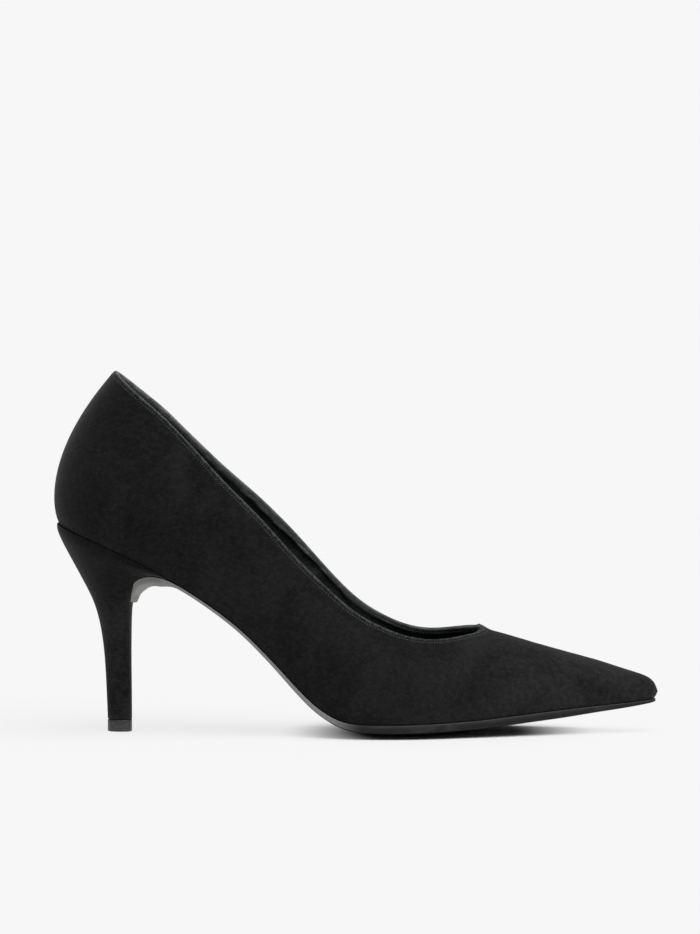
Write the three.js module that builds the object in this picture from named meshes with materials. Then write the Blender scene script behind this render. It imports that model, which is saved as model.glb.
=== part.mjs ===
// A black suede court shoe for the right foot: pointed toe, low-cut throat and a slim covered heel.
// Millimetres, +Z up. X runs from the heel to the toe, and +Y is the inner side of the foot.
// The upper is one hollow wall, drawn round the last, open at the collar and under the foot.

import * as THREE from "three";

// Driving sizes of the shoe
const SHOE_LENGTH = 242.2; // furthest back of the counter to the tip of the toe
const BALL_WIDTH = 75; // tread width that the shares of half widths below follow
const SEAT_RISE = 77.8; // rise of the feather edge from the ball to the back of the seat
const TOE_SPRING = 9.6; // rise of the feather edge from the ball to the tip of the toe
const TOE_SWING = 3; // how far the toe leans to the inner side of the heel's centre line
const COUNTER_HEIGHT = 61.4; // feather edge to topline at the back, measured straight up

// Thicknesses and clearances
const UPPER_WALL = 1.8; // suede and lining together
const LASTING_MARGIN = 9; // width of the upper that is turned under the insole
const INSOLE_THICKNESS = 2;
const INSOLE_PLAY = 0.8; // between the insole's edge and the lined wall
const OUTSOLE_EDGE = 3.1; // edge of the outsole at the ball
const OUTSOLE_OVERHANG = 0.4; // how far the outsole's edge stands out past the feather edge
const WAIST_BOW = 0.5; // how much thicker the middle of the waist is than its edges
const TREAD_CROWN = 2.6; // how much lower the middle of the tread lies than its edges
const SEAM_GAP = 0.3; // between pieces that are cemented together

// The heel and its top piece
const TOP_PIECE_HEIGHT = 4.8;
const TOP_PIECE_WIDTH = 9.2;
const TOP_PIECE_LENGTH = 9.8;
const HEEL_FRONT = 31.2; // from the furthest back of the shoe to the front of the top piece
const HEEL_SEAT_WIDTH = 49.4;
const HEEL_SEAT_LENGTH = 48.5; // from the furthest back of the shoe to the front lip of the heel
const HEEL_SEAT_INSET = 1.1; // from the furthest back of the shoe to the rim of the heel

const BALL_LIFT = TREAD_CROWN + OUTSOLE_EDGE + SEAM_GAP; // height of the feather edge at the ball

// Sections of the last, heel to toe. Lengths are shares of the named size that each one follows:
// along, topAlong: of SHOE_LENGTH; lateral, medial, topOut, bulge: of BALL_WIDTH; lift: of SEAT_RISE;
// spring: of TOE_SPRING; crown: of TREAD_CROWN; tall, medialTall: of COUNTER_HEIGHT.
// arch turns a straight side (0) into a quarter of an ellipse (1).
const LAST_COLUMNS = [
  "along", "lateral", "medial", "lift", "spring", "crown",
  "topAlong", "topOut", "tall", "medialTall", "bulge", "arch",
];
const LAST_ROWS = [
  [0.112, 0.337, 0.337, 1.0, 0, 0, 0.182, 0.263, 1.0, 0, 0.12, 0],
  [0.112, 0.327, 0.327, 0.864, 0, 0, 0.182, 0.273, 0.9, 0, 0.08, 0],
  [0.157, 0.323, 0.319, 0.795, 0, 0, 0.236, 0.293, 0.77, 0.005, 0.069, 0],
  [0.198, 0.312, 0.299, 0.722, 0, 0, 0.285, 0.307, 0.647, 0.035, 0.061, 0],
  [0.248, 0.296, 0.267, 0.622, 0, 0.05, 0.339, 0.32, 0.565, 0.058, 0.059, 0],
  [0.31, 0.291, 0.237, 0.478, 0, 0.12, 0.397, 0.333, 0.493, 0.083, 0.059, 0.05],
  [0.372, 0.32, 0.235, 0.287, 0, 0.3, 0.45, 0.34, 0.529, 0.052, 0.056, 0.1],
  [0.43, 0.393, 0.28, 0.1, 0, 0.65, 0.496, 0.347, 0.606, 0.027, 0.048, 0.15],
  [0.479, 0.467, 0.357, 0.012, 0, 1.1, 0.537, 0.34, 0.622, 0.016, 0.04, 0.2],
  [0.525, 0.509, 0.417, 0, 0, 1.25, 0.579, 0.32, 0.57, 0.012, 0.035, 0.25],
  [0.57, 0.517, 0.452, 0, 0, 1.28, 0.618, 0.287, 0.537, 0.02, 0.03, 0.3],
  [0.612, 0.499, 0.457, 0, 0.02, 1.25, 0.653, 0.24, 0.537, 0.028, 0.028, 0.38],
  [0.645, 0.469, 0.445, 0, 0.052, 1.15, 0.682, 0.18, 0.548, 0.03, 0.0275, 0.48],
  [0.669, 0.443, 0.427, 0, 0.08, 1.0, 0.7025, 0.113, 0.56, 0.025, 0.028, 0.6],
  [0.69, 0.417, 0.408, 0, 0.105, 0.95, 0.713, 0.047, 0.57, 0.01, 0.0285, 0.745],
  [0.7025, 0.403, 0.396, 0, 0.12, 0.92, 0.715, 0, 0.575, 0, 0.03, 0.815],
  [0.7355, 0.363, 0.36, 0, 0.198, 0.85, 0.744, 0, 0.518, 0, 0.0265, 0.9],
  [0.793, 0.291, 0.293, 0, 0.333, 0.65, 0.7975, 0, 0.428, 0, 0.0205, 0.98],
  [0.851, 0.22, 0.224, 0, 0.469, 0.5, 0.853, 0, 0.347, 0, 0.016, 1],
  [0.901, 0.16, 0.163, 0, 0.573, 0.35, 0.901, 0, 0.278, 0, 0.013, 1],
  [0.95, 0.101, 0.103, 0, 0.66, 0.2, 0.95, 0, 0.203, 0, 0.009, 1],
  [0.978, 0.065, 0.065, 0, 0.725, 0.1, 0.981, 0, 0.152, 0, 0.005, 1],
  [0.989, 0.043, 0.043, 0, 0.765, 0, 0.9945, 0, 0.1, 0, 0.003, 1],
  [0.9955, 0, 0, 0, 0.79, 0, 1.0, 0, 0.035, 0, 0, 1],
];
const SIDE_ROW = 1; // the section straight across the heel, where the turn round its back ends
const THROAT_ROW = 15; // from here to the toe the section closes over the foot
const LAST_ROW = LAST_ROWS.length - 1;

// Rings of the heel between its top piece and its seat, each with a back and a front point.
// back, front: shares of HEEL_SEAT_LENGTH; backUp, frontUp: shares of SEAT_RISE above the floor;
// half: half width, a share of HEEL_SEAT_WIDTH; square: how boxy the front half of the ring is.
const HEEL_COLUMNS = ["back", "backUp", "front", "frontUp", "half", "square"];
const HEEL_ROWS = [
  [0.433, 0.193, 0.643, 0.193, 0.099, 3],
  [0.419, 0.386, 0.639, 0.386, 0.117, 3],
  [0.388, 0.54, 0.641, 0.514, 0.154, 3.2],
  [0.336, 0.662, 0.643, 0.62, 0.198, 3.4],
  [0.272, 0.743, 0.656, 0.681, 0.255, 3.8],
  [0.19, 0.838, 0.691, 0.752, 0.328, 4.4],
  [0.115, 0.923, 0.763, 0.794, 0.397, 5],
  [0.054, 0.995, 0.856, 0.812, 0.457, 6],
  [0.0175, 1.05, 0.938, 0.805, 0.492, 7],
];
const TIP_SQUARE = 3; // how boxy the front half of the top piece is
const SEAT_SQUARE = 8; // and of the seat

// Thickness of the outsole's edge from the end of its flap to the toe, in two columns:
// the place as a share of SHOE_LENGTH, and the thickness as a share of OUTSOLE_EDGE.
const EDGE_ROWS = [
  [0.13, 0.3],
  [0.18, 0.5],
  [0.22, 0.34],
  [0.36, 0.4],
  [0.46, 0.6],
  [0.53, 0.95],
  [0.6, 1.0],
  [0.84, 0.95],
  [0.93, 0.65],
  [1.0, 0.35],
];
const BOW_PLACES = [0.22, 0.5]; // where the bow of the waist starts and ends, as shares of SHOE_LENGTH
const FLAP_FIRST_ROW = 4; // the row of the heel where the outsole's flap ends
const FLAP_SHARE = 0.92; // width of the flap, as a share of the heel behind it

// Samples
const TURN_STEPS = 8; // sections round each half of the back
const STEPS_PER_ROW = 2;
const SIDE_SHARES = [0, 0.05, 0.13, 0.23, 0.34, 0.45, 0.56, 0.67, 0.78, 0.89, 1];
const SOLE_SHARES = [0, 0.3, 0.55, 0.75, 0.9, 1];
const RING_STEPS = 28;
const SEAT_RINGS = 4;
const INSOLE_TOE_SHARE = 3.2; // the insole ends where the last is this many insets wide, each side
const FLAP_LEAD = 2; // length of sole between the heel's lip and the first section in front of it
const MITRE_LIMIT = 0.75; // least cosine that a mitred corner of the wall is set in by
const MARGIN_SHARES = [0, 0.5, 0.92]; // sections of the turned margin, from its inner edge out
const SWELL_POWER = 0.85; // below 1 the bulge of a side sits lower down
const SWELL_PEAK = 0.279; // greatest value of the swell curve, which the bulge is divided by
const SWING_START = 0.5; // share of SHOE_LENGTH at which the toe starts to lean
const SLOPE_STEP = 0.05; // rows either side over which the slope of the sole is taken

// The wall is eased smooth about the throat, between these shares of SHOE_LENGTH.
const EASED_STRETCH = [0.52, 0.93];
const EASED_LEAD = 0.08; // share of SHOE_LENGTH over which the easing fades in and out
const EASED_FOOT = 0.15; // share of the wall's height that stays as it is above the feather edge
const EASED_RISE = 0.35; // share of the wall's height over which the easing fades in above that
const EASING_PULLS = [0.5, -0.51]; // pull towards the neighbours, then back out so that nothing shrinks
const EASING_ROUNDS = 100;
const NORMAL_ROUNDS = 3; // rounds of averaging that smooth the direction the wall is set in by

const lerp = (a, b, t) => a + (b - a) * t;
const clamp = (value, low, high) => Math.min(high, Math.max(low, value));
const ease = (t) => t * t * (3 - 2 * t);

// A smooth value between rows of a table, at a real row number.
function columnAt(rows, column, at) {
  const last = rows.length - 1;
  const i = clamp(Math.floor(at), 0, last - 1);
  const t = at - i;
  const b = rows[i][column];
  const c = rows[i + 1][column];
  const a = i > 0 ? rows[i - 1][column] : 2 * b - c;
  const d = i < last - 1 ? rows[i + 2][column] : 2 * c - b;
  const square = t * t;
  return 0.5 * (2 * b + (c - a) * t + (2 * a - 5 * b + 4 * c - d) * square
    + (3 * b - a - 3 * c + d) * square * t);
}

// The middle of a list of points.
function middleOf(points) {
  return points[0].map((_, axis) => points.reduce((sum, point) => sum + point[axis], 0) / points.length);
}

function rowAt(rows, columns, at) {
  return Object.fromEntries(columns.map((name, i) => [name, columnAt(rows, i, at)]));
}

// A section of the last, in millimetres. turn is 1 at the back of the heel and 0 from its side on.
function sectionAt(at, turn = 0) {
  const forward = LAST_ROWS.slice(SIDE_ROW);
  const side = rowAt(forward, LAST_COLUMNS, at - SIDE_ROW);
  const back = Object.fromEntries(LAST_COLUMNS.map((name, i) => [name, LAST_ROWS[0][i]]));
  const share = (name) => lerp(side[name], back[name], turn);
  const height = (lift, spring) => BALL_LIFT + lift * SEAT_RISE + spring * TOE_SPRING;
  const along = share("along") * SHOE_LENGTH;
  const topOut = Math.max(share("topOut"), 0) * BALL_WIDTH;
  const tall = share("tall") * COUNTER_HEIGHT;
  const medialTall = topOut > 0 ? share("medialTall") * COUNTER_HEIGHT : 0;
  return {
    at,
    turn,
    along,
    topAlong: share("topAlong") * SHOE_LENGTH,
    middle: TOE_SWING * ease(clamp((side.along - SWING_START) / (1 - SWING_START), 0, 1)),
    out: { [-1]: share("lateral") * BALL_WIDTH, 1: share("medial") * BALL_WIDTH },
    feather: height(share("lift"), side.spring),
    spine: height(side.lift, side.spring),
    crown: side.crown * TREAD_CROWN,
    topOut,
    tall: { [-1]: tall, 1: tall + medialTall },
    bulge: share("bulge") * BALL_WIDTH,
    arch: share("arch"),
    under: underAt(at),
  };
}

// The unit vector square to the line of the sole, which points up into the shoe.
function underAt(at) {
  const forward = LAST_ROWS.slice(SIDE_ROW);
  const point = (place) => {
    const row = rowAt(forward, LAST_COLUMNS, clamp(place - SIDE_ROW, 0, LAST_ROW - SIDE_ROW));
    return [row.along * SHOE_LENGTH, row.lift * SEAT_RISE + row.spring * TOE_SPRING];
  };
  const [x0, z0] = point(Math.max(at - SLOPE_STEP, SIDE_ROW));
  const [x1, z1] = point(Math.min(at + SLOPE_STEP, LAST_ROW - 1));
  const length = Math.hypot(x1 - x0, z1 - z0);
  return [-(z1 - z0) / length, (x1 - x0) / length];
}

// Every section, from the back of the heel along one side to the toe.
function sections() {
  const list = [];
  for (let i = 0; i < TURN_STEPS; i += 1) {
    list.push(sectionAt(SIDE_ROW, Math.cos((i / TURN_STEPS) * (Math.PI / 2))));
  }
  const steps = (LAST_ROW - SIDE_ROW) * STEPS_PER_ROW;
  for (let i = 0; i <= steps; i += 1) {
    list.push(sectionAt(SIDE_ROW + i / STEPS_PER_ROW));
  }
  return list;
}
const SECTIONS = sections();

// A point beside the spine of a section, out to its lateral (-1) or medial (1) side.
function beside(section, side, x, out, z) {
  const across = Math.sqrt(1 - section.turn * section.turn);
  return [x - section.turn * out, section.middle + side * across * out, z];
}

// A point on the wall of the last: share 0 is the feather edge, and 1 the topline or the ridge.
function wallPoint(section, side, share) {
  const quarter = (share * Math.PI) / 2;
  const inward = lerp(1 - share, Math.cos(quarter), section.arch);
  const upward = lerp(share, Math.sin(quarter), section.arch);
  const swell = (share ** SWELL_POWER * (1 - share)) / SWELL_PEAK;
  const out = section.topOut + (section.out[side] - section.topOut) * inward + section.bulge * swell;
  const x = lerp(section.along, section.topAlong, upward);
  return beside(section, side, x, out, section.feather + section.tall[side] * upward);
}

// A point under the last: share 0 is the spine and 1 the feather edge, raised square to the sole.
function underPoint(section, side, share, raise) {
  const dip = section.crown * (1 - share * share);
  const z = lerp(section.spine, section.feather, share) - dip;
  const [x0, y0] = beside(section, side, section.along, section.out[side] * share, z);
  return [x0 + raise * section.under[0], y0, z + raise * section.under[1]];
}

// Triangles over a grid of points, rows first, turned over on request.
function gridTriangles(grid, turned) {
  const triangles = [];
  for (let i = 0; i + 1 < grid.length; i += 1) {
    for (let j = 0; j + 1 < grid[i].length; j += 1) {
      const [a, b, c, d] = [grid[i][j], grid[i + 1][j], grid[i + 1][j + 1], grid[i][j + 1]];
      triangles.push(...(turned ? [[a, c, b], [a, d, c]] : [[a, b, c], [a, c, d]]));
    }
  }
  return triangles;
}

// A name for a place, to a thousandth of a millimetre.
const placeKey = (point) => point.map((value) => Math.round(value * 1000)).join(" ");

// Corners that lie in one place become one, and triangles that lose a corner by it are dropped.
function weld(triangles) {
  const points = [];
  const known = new Map();
  const number = (point) => {
    const key = placeKey(point);
    if (!known.has(key)) {
      known.set(key, points.length);
      points.push(point);
    }
    return known.get(key);
  };
  const faces = triangles
    .map((triangle) => triangle.map(number))
    .filter(([a, b, c]) => a !== b && b !== c && c !== a);
  return { points, faces };
}

function faceNormal(points, [a, b, c]) {
  const origin = new THREE.Vector3(...points[a]);
  const one = new THREE.Vector3(...points[b]).sub(origin);
  const two = new THREE.Vector3(...points[c]).sub(origin);
  return one.cross(two);
}

// A closed solid between a skin and its other side, with strips along the skin's open edges.
function closed({ points, faces }, others) {
  const triangles = faces.flatMap(([a, b, c]) => [
    [points[a], points[b], points[c]],
    [others[a], others[c], others[b]],
  ]);
  const edges = new Set(faces.flatMap(([a, b, c]) => [`${a} ${b}`, `${b} ${c}`, `${c} ${a}`]));
  edges.forEach((edge) => {
    const [a, b] = edge.split(" ").map(Number);
    if (edges.has(`${b} ${a}`)) return;
    triangles.push([points[b], points[a], others[a]], [points[b], others[a], others[b]]);
  });
  return weld(triangles);
}

// The numbers of the corners that share a triangle with each corner.
function neighbours({ points, faces }) {
  const near = points.map(() => new Set());
  faces.forEach((face) => face.forEach((i) => face.forEach((j) => i !== j && near[i].add(j))));
  return near.map((set) => [...set]);
}

// A closed wall behind an open skin, which is thicker along the skin's corners, as a mitre is.
// soft holds, for each corner, whether its direction is averaged with its neighbours'.
function wallBehind(skin, wall, soft) {
  const { points, faces } = skin;
  const flats = faces.map((face) => faceNormal(points, face));
  const normals = points.map(() => new THREE.Vector3());
  faces.forEach((face, i) => face.forEach((j) => normals[j].add(flats[i])));
  normals.forEach((normal) => normal.normalize());
  flats.forEach((flat) => flat.normalize());
  const near = neighbours(skin);
  for (let round = 0; round < NORMAL_ROUNDS; round += 1) {
    const from = normals.map((normal) => normal.clone());
    normals.forEach((normal, i) => {
      if (!soft[i]) return;
      near[i].forEach((j) => normal.add(from[j]));
      normal.normalize();
    });
  }
  const corner = points.map(() => 1);
  faces.forEach((face, i) => face.forEach((j) => {
    corner[j] = Math.min(corner[j], normals[j].dot(flats[i]));
  }));
  const others = points.map((point, i) => {
    const depth = wall / clamp(corner[i], MITRE_LIMIT, 1);
    return normals[i].toArray().map((value, axis) => point[axis] - value * depth);
  });
  return closed(skin, others);
}

function geometryOf({ points, faces }) {
  return new THREE.BufferGeometry()
    .setAttribute("position", new THREE.Float32BufferAttribute(points.flat(), 3))
    .setIndex(faces.flat());
}

// How much of the easing a point of the wall takes: none on the feather edge and the topline.
function easingAt(section, share) {
  const edge = share === 1 && section.at <= THROAT_ROW;
  if (share === 0 || edge) return 0;
  const place = section.along / SHOE_LENGTH;
  const [start, end] = EASED_STRETCH;
  const lead = (distance) => ease(clamp(distance / EASED_LEAD, 0, 1));
  const height = ease(clamp((share - EASED_FOOT) / EASED_RISE, 0, 1));
  return height * lead(place - start) * lead(end - place);
}

// A skin whose points move to and from the middle of their neighbours, each by its own weight.
function eased({ points, faces }, weights) {
  const near = neighbours({ points, faces });
  let moved = points;
  for (let round = 0; round < EASING_ROUNDS; round += 1) {
    const from = moved;
    const pull = EASING_PULLS[round % EASING_PULLS.length];
    moved = from.map((point, i) => {
      if (!weights[i]) return point;
      const middle = middleOf(near[i].map((j) => from[j]));
      return point.map((value, axis) => lerp(value, middle[axis], weights[i] * pull));
    });
  }
  return { points: moved, faces };
}

// The upper: a wall round the last, with its lower edge turned under all round
function upperGeometry() {
  const shares = new Map();
  const triangles = [-1, 1].flatMap((side) => {
    const grid = SECTIONS.map((section) => {
      const width = Math.max(section.out[side], 0);
      const inner = width > 0 ? Math.max(width - LASTING_MARGIN, 0) / width : 0;
      const margin = MARGIN_SHARES.map((share) => lerp(inner, 1, share));
      const wall = SIDE_SHARES.map((share) => wallPoint(section, side, share));
      wall.forEach((point, i) => shares.set(placeKey(point), { section, share: SIDE_SHARES[i] }));
      return [...margin.map((share) => underPoint(section, side, share, 0)), ...wall];
    });
    return gridTriangles(grid, side > 0);
  });
  const skin = weld(triangles);
  const places = skin.points.map((point) => shares.get(placeKey(point)));
  const weights = places.map((place) => (place ? easingAt(place.section, place.share) : 0));
  const soft = places.map((place) => Boolean(place) && place.share > EASED_FOOT);
  return geometryOf(wallBehind(eased(skin, weights), UPPER_WALL, soft));
}

// A closed plate between a top and a bottom grid of the same size.
function plateGeometry(top, bottom) {
  const skin = weld(gridTriangles(top, false));
  const pairs = top.flatMap((row, i) => row.map((point, j) => [placeKey(point), bottom[i][j]]));
  const below = new Map(pairs);
  return geometryOf(closed(skin, skin.points.map((point) => below.get(placeKey(point)))));
}

// One row of a plate, from its lateral edge over the spine to its medial edge.
function acrossPlate(pointOf) {
  const lateral = [...SOLE_SHARES].reverse().map((share) => pointOf(-1, share));
  const medial = SOLE_SHARES.slice(1).map((share) => pointOf(1, share));
  return [...lateral, ...medial];
}

// The insole: a thin board on the turned margin, from the back of the heel to the toe
function insoleGeometry() {
  const inset = UPPER_WALL + INSOLE_PLAY;
  const fits = SECTIONS.filter((section) => section.out[-1] > INSOLE_TOE_SHARE * inset);
  const level = (raise) => fits.map((section) => acrossPlate((side, share) => {
    const edge = 1 - inset / section.out[side];
    return underPoint(section, side, share * edge, raise);
  }));
  const bottom = UPPER_WALL + SEAM_GAP;
  return plateGeometry(level(bottom + INSOLE_THICKNESS), level(bottom));
}

// Height of the seat of the last above the floor, at a distance from the back of the shoe.
function seatHeight(x) {
  const side = SECTIONS[TURN_STEPS];
  if (x < side.along) {
    const back = SECTIONS[0];
    return lerp(side.feather, back.feather, (side.along - x) / back.out[1]);
  }
  const next = SECTIONS.findIndex((section, i) => i > TURN_STEPS && section.along >= x);
  const [before, after] = [SECTIONS[next - 1], SECTIONS[next]];
  return lerp(before.feather, after.feather, (x - before.along) / (after.along - before.along));
}

// The heel's rings as real sizes, from the top piece up to the seat.
function heelRings() {
  const tip = {
    back: HEEL_FRONT - TOP_PIECE_LENGTH,
    backUp: TOP_PIECE_HEIGHT + SEAM_GAP,
    front: HEEL_FRONT,
    frontUp: TOP_PIECE_HEIGHT + SEAM_GAP,
    half: TOP_PIECE_WIDTH / 2,
    square: TIP_SQUARE,
  };
  const rows = HEEL_ROWS.map((row, i) => {
    const share = rowAt(HEEL_ROWS, HEEL_COLUMNS, i);
    return {
      back: share.back * HEEL_SEAT_LENGTH,
      backUp: share.backUp * SEAT_RISE,
      front: share.front * HEEL_SEAT_LENGTH,
      frontUp: share.frontUp * SEAT_RISE,
      half: share.half * HEEL_SEAT_WIDTH,
      square: share.square,
    };
  });
  const seat = {
    back: HEEL_SEAT_INSET,
    front: HEEL_SEAT_LENGTH,
    half: HEEL_SEAT_WIDTH / 2,
    square: SEAT_SQUARE,
    onSeat: true,
  };
  return [tip, ...rows, seat];
}

// A point on a ring: across is -1 to 1 of its half width, on its front or its back half.
function ringPoint(ring, across, forward) {
  const power = forward ? ring.square : 2;
  const reach = (1 - Math.abs(across) ** power) ** (1 / power);
  const place = forward ? 0.5 + 0.5 * reach : 0.5 - 0.5 * reach;
  const x = lerp(ring.back, ring.front, place);
  const z = ring.onSeat ? seatHeight(x) - SEAM_GAP : lerp(ring.backUp, ring.frontUp, place);
  return [x, ring.half * across, z];
}

// The points of a whole ring, from the middle of its front round the back.
function ringOutline(ring) {
  return Array.from({ length: RING_STEPS }, (_, i) => {
    const angle = (i / RING_STEPS) * 2 * Math.PI;
    const forward = Math.cos(angle) > -1e-9;
    const power = forward ? ring.square : 2;
    const across = Math.sign(Math.sin(angle)) * Math.abs(Math.sin(angle)) ** (2 / power);
    return ringPoint(ring, clamp(across, -1, 1), forward);
  });
}

// A closed solid through rings of equal length, each end drawn in to a middle point.
function ringsGeometry(rings) {
  const loops = rings.map((ring) => [...ring, ring[0]]);
  return geometryOf(weld(gridTriangles(loops, true)));
}

// The heel: a covered cup under the seat that narrows to a slim stem
function heelGeometry() {
  const outlines = heelRings().map(ringOutline);
  const rim = outlines.at(-1);
  const [x, y] = middleOf(rim);
  const domed = Array.from({ length: SEAT_RINGS }, (_, i) => rim.map((point) => {
    const inward = (i + 1) / SEAT_RINGS;
    const place = lerp(point[0], x, inward);
    return [place, lerp(point[1], y, inward), seatHeight(place) - SEAM_GAP];
  }));
  const foot = middleOf(outlines[0]);
  return ringsGeometry([outlines[0].map(() => foot), ...outlines, ...domed]);
}

// The top piece: the small hard plate that the heel stands on
function topPieceGeometry() {
  const ring = heelRings()[0];
  const outline = new THREE.Shape(ringOutline(ring).map(([x, y]) => new THREE.Vector2(x, y)));
  return new THREE.ExtrudeGeometry(outline, { depth: TOP_PIECE_HEIGHT, bevelEnabled: false });
}

// The thickness of the outsole's edge at a distance from the back of the shoe.
function edgeThickness(x) {
  const place = clamp(x / SHOE_LENGTH, EDGE_ROWS[0][0], EDGE_ROWS.at(-1)[0]);
  const next = Math.max(EDGE_ROWS.findIndex((row) => row[0] >= place), 1);
  const [before, after] = [EDGE_ROWS[next - 1], EDGE_ROWS[next]];
  const share = (place - before[0]) / (after[0] - before[0]);
  return OUTSOLE_EDGE * lerp(before[1], after[1], share);
}

// The outsole: a flap down the front of the heel, a thin bowed waist and a thicker tread
function outsoleGeometry() {
  const flap = heelRings().slice(FLAP_FIRST_ROW + 1).map((ring) => ({
    along: ring.front,
    at: (side, share) => ringPoint(ring, side * share * FLAP_SHARE, true),
  }));
  const waist = SECTIONS
    .filter((section) => section.turn === 0 && section.along > HEEL_SEAT_LENGTH + FLAP_LEAD)
    .map((section) => ({
      along: section.along,
      at: (side, share) => {
        const reach = section.out[side] > 0 ? 1 + OUTSOLE_OVERHANG / section.out[side] : 1;
        return underPoint(section, side, share * reach, 0);
      },
    }));
  const stations = [...flap, ...waist];
  const level = (depth) => stations.map((station, i) => {
    const [x0, , z0] = stations[Math.max(i - 1, 0)].at(1, 0);
    const [x1, , z1] = stations[Math.min(i + 1, stations.length - 1)].at(1, 0);
    const length = Math.hypot(x1 - x0, z1 - z0);
    const [bowStart, bowEnd] = BOW_PLACES;
    const bowed = clamp((station.along / SHOE_LENGTH - bowStart) / (bowEnd - bowStart), 0, 1);
    return acrossPlate((side, share) => {
      const bow = WAIST_BOW * Math.sin(bowed * Math.PI) ** 2 * (1 - share * share);
      const sink = SEAM_GAP + depth * (edgeThickness(station.along) + bow);
      const [x, y, z] = station.at(side, share);
      return [x + (sink * (z1 - z0)) / length, y, Math.max(z - (sink * (x1 - x0)) / length, 0)];
    });
  });
  return plateGeometry(level(0), level(1));
}

const shoe = new THREE.Group();

function addPiece(name, geometry, color, roughness) {
  const material = new THREE.MeshStandardMaterial({ color, roughness, metalness: 0 });
  const mesh = new THREE.Mesh(geometry, material);
  mesh.name = name;
  shoe.add(mesh);
  return mesh;
}

addPiece("upper", upperGeometry(), 0x1c1c1d, 0.95);
addPiece("insole", insoleGeometry(), 0x26282a, 0.7);
addPiece("outsole", outsoleGeometry(), 0x3a3a3a, 0.5);
addPiece("heel", heelGeometry(), 0x1a1a1b, 0.95);
addPiece("top_piece", topPieceGeometry(), 0x3c3c3c, 0.55);

// The origin is under the middle of the shoe's box, on the floor that it stands on.
const box = new THREE.Box3().setFromObject(shoe);
shoe.children.forEach((mesh) => {
  mesh.position.set(-(box.min.x + box.max.x) / 2, -(box.min.y + box.max.y) / 2, -box.min.z);
});

export default shoe;
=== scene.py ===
"""A black suede court shoe with a pointed toe and a slim covered heel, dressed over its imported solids."""

from __future__ import annotations

import logging
import math
from dataclasses import dataclass, field
from enum import Enum

import bmesh
import bpy
import numpy as np
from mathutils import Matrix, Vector
from mathutils.bvhtree import BVHTree
from mathutils.kdtree import KDTree

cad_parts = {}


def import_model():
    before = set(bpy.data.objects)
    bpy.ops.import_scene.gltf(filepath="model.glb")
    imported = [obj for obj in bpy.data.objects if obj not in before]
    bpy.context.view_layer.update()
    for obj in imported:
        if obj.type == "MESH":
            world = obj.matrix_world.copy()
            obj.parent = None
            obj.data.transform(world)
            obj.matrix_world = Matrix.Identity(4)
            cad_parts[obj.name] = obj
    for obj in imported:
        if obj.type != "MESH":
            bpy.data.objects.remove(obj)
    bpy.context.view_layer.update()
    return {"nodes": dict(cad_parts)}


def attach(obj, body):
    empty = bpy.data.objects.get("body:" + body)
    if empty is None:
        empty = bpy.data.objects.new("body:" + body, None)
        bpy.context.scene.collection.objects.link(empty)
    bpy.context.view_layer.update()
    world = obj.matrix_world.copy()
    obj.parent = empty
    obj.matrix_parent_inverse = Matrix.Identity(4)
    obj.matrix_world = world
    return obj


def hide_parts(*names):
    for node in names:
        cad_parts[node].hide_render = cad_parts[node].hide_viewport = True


LOG = logging.getLogger("court_shoe")
MM = 0.001
ROOT = "root"
WELD = 2e-6
SHARP = math.radians(45)
LEAST_RIM_POINTS = 60
Triple = tuple[float, float, float]
Pair = tuple[float, float]


class Side(Enum):
    """Which face of the upper's wall a piece lies on."""

    OUTER = "outer"
    INNER = "inner"


@dataclass(frozen=True)
class Suede:
    """Short black nap: dry, matt, mottled where it lies in different directions."""

    name: str
    dark: Triple = (0.0022, 0.0022, 0.0023)
    pale: Triple = (0.0188, 0.0188, 0.019)
    # This flag paints the vamp lighter as light from above, and the low back of the upper darker as shade.
    painted_light_and_shade: bool = False
    # This flag paints the top of the covered heel darker as shade.
    shaded: bool = False
    speck: Triple = (0.06, 0.061, 0.062)
    # The fold edge's paler colour: partly frayed fibres, partly a painted highlight along the roll.
    worn_and_highlight: Triple = (0.062, 0.063, 0.064)
    # Painted highlight along the inner edge of the rim.
    rim: Triple = (0.125, 0.13, 0.132)
    specks: float = 0.7
    sheen: float = 0.17
    fold: bool = False
    seam: bool = False
    # Where and how strongly the vamp is painted lighter and the heel cup painted darker as shade.
    front: Pair = (0.02, 0.1)
    front_light_tone: float = 1.55
    cup_along: Pair = (-0.055, -0.1)
    cup_up: Pair = (0.12, 0.085)
    cup_shade_tone: float = 0.78
    # How high and how dark the painted shade at the heel's top is.
    heel_top: Pair = (0.035, 0.075)
    heel_top_shade_tone: float = 0.36
    roll: float = 0.0021
    channel: Triple = (0.00155, 0.00225, 0.0032)
    worn_and_highlight_reach: Pair = (0.0003, 0.0018)
    rim_highlight_reach: Pair = (0.0008, 0.0021)
    # Where the rim's painted highlight grows brighter toward the back, and by how much.
    rim_highlight_back: Pair = (-0.045, -0.08)
    rim_highlight_back_tone: float = 1.7
    groove: Triple = (0.004, 0.004, 0.004)


@dataclass(frozen=True)
class Leather:
    """Thin dyed lining leather with a fine grain."""

    name: str
    dark: Triple
    pale: Triple
    roughness: float
    grain: float = 1500.0
    depth: float = 0.00012
    pore: Triple = (0.006, 0.006, 0.006)
    banded: bool = False
    slope: float = -0.62
    facing: Triple = (0.023, 0.0248, 0.0252)
    facing_end: Pair = (0.0026, 0.0031)
    # Painted highlight on the ridges of the lining's folds, and painted shade in their hollows.
    fold_highlight: Triple = (0.085, 0.094, 0.096)
    fold_shade: Triple = (0.006, 0.007, 0.007)


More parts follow.
